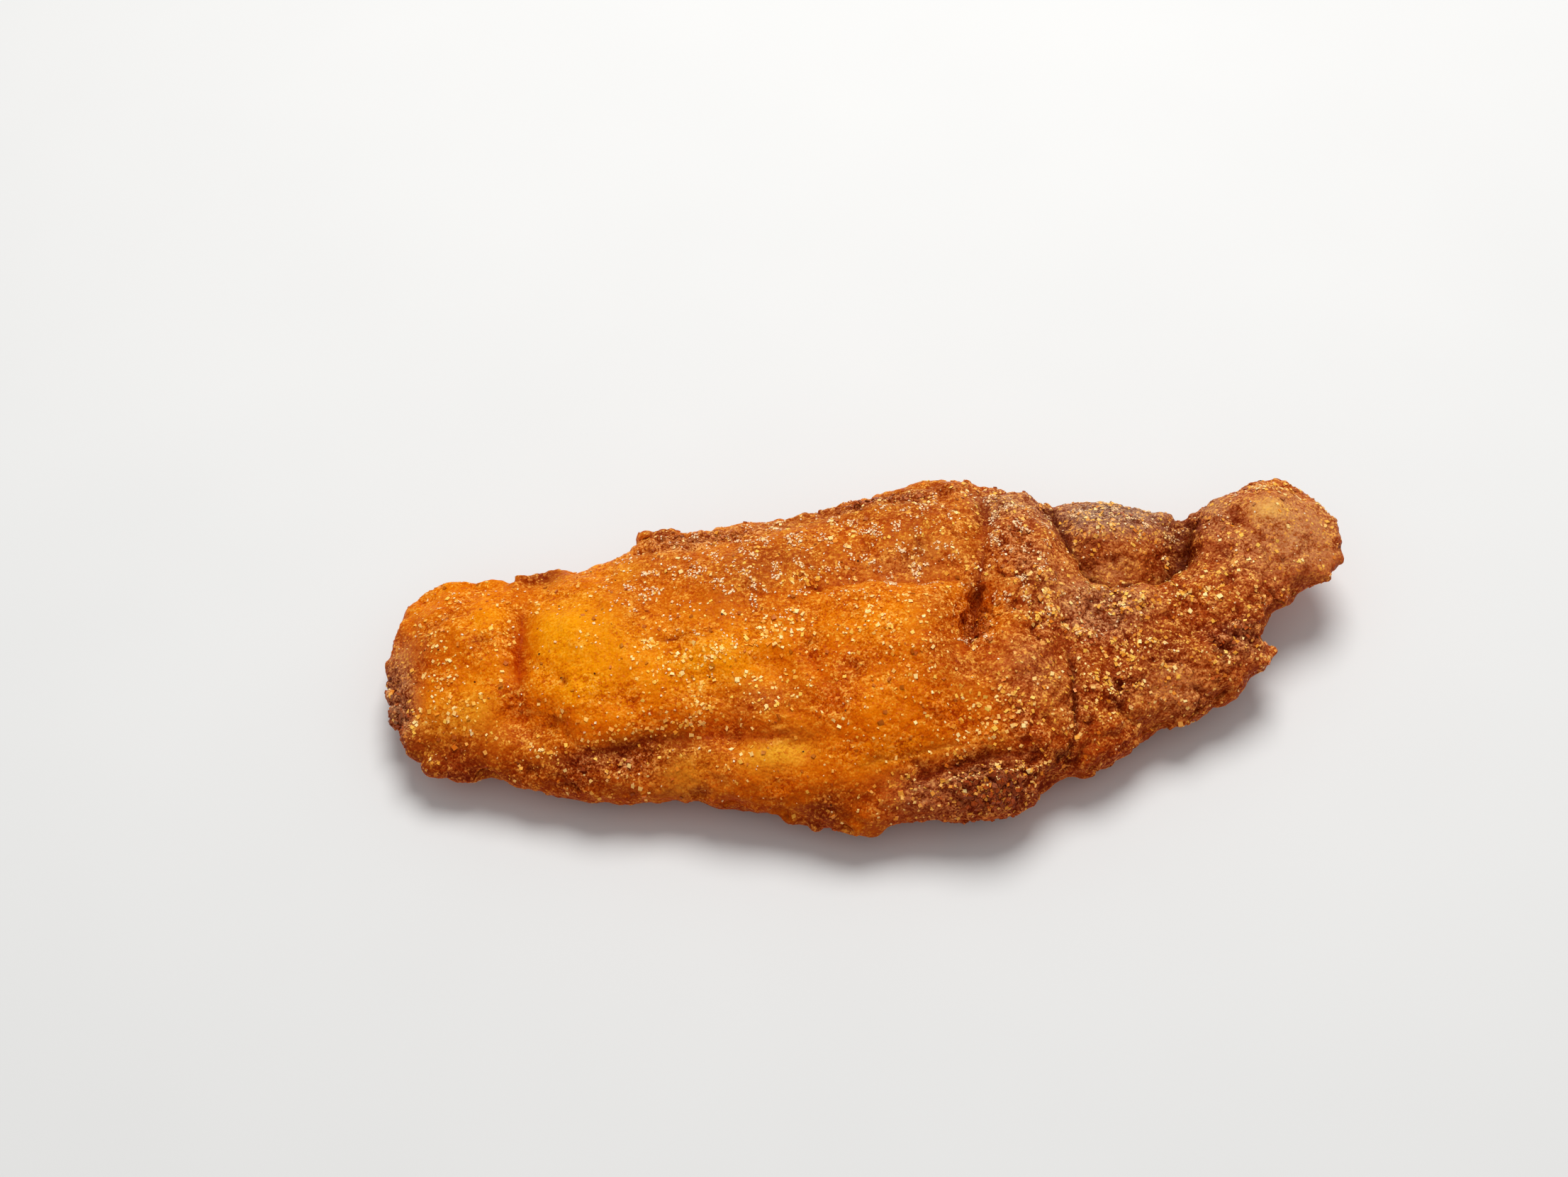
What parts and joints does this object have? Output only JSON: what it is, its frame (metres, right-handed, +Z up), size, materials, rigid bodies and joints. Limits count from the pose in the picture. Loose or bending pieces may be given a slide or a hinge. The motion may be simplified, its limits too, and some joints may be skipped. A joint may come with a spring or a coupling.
{
  "type": "fried fish fillet",
  "caption": "Whole fried fish fillet in a golden-brown cornmeal crust, with folds across the loin and a narrow tail whose tip curls up.",
  "frame": {"origin": "under the middle of the bounding box, on the surface that the fillet lies on", "axes": "+X along the fillet from the broad head end to the tail, +Y from its front edge to its back edge, +Z up"},
  "size_m": [0.1926, 0.0806, 0.0256],
  "materials": {
    "crust": "fried cornmeal crust: fine and gritty, with a little oil in its hollows; bright gold over the loin, brown at the rims, folds and tail",
    "gold_meal": "coarse golden cornmeal grains, slightly glossy with oil",
    "pale_meal": "coarse pale cornmeal grains, slightly translucent",
    "white_grit": "dry white flour and salt grit",
    "toasted_meal": "toasted brown cornmeal grains"
  },
  "bodies": {
    "root": {"fillet": "crust"}
  },
  "joints": []
}
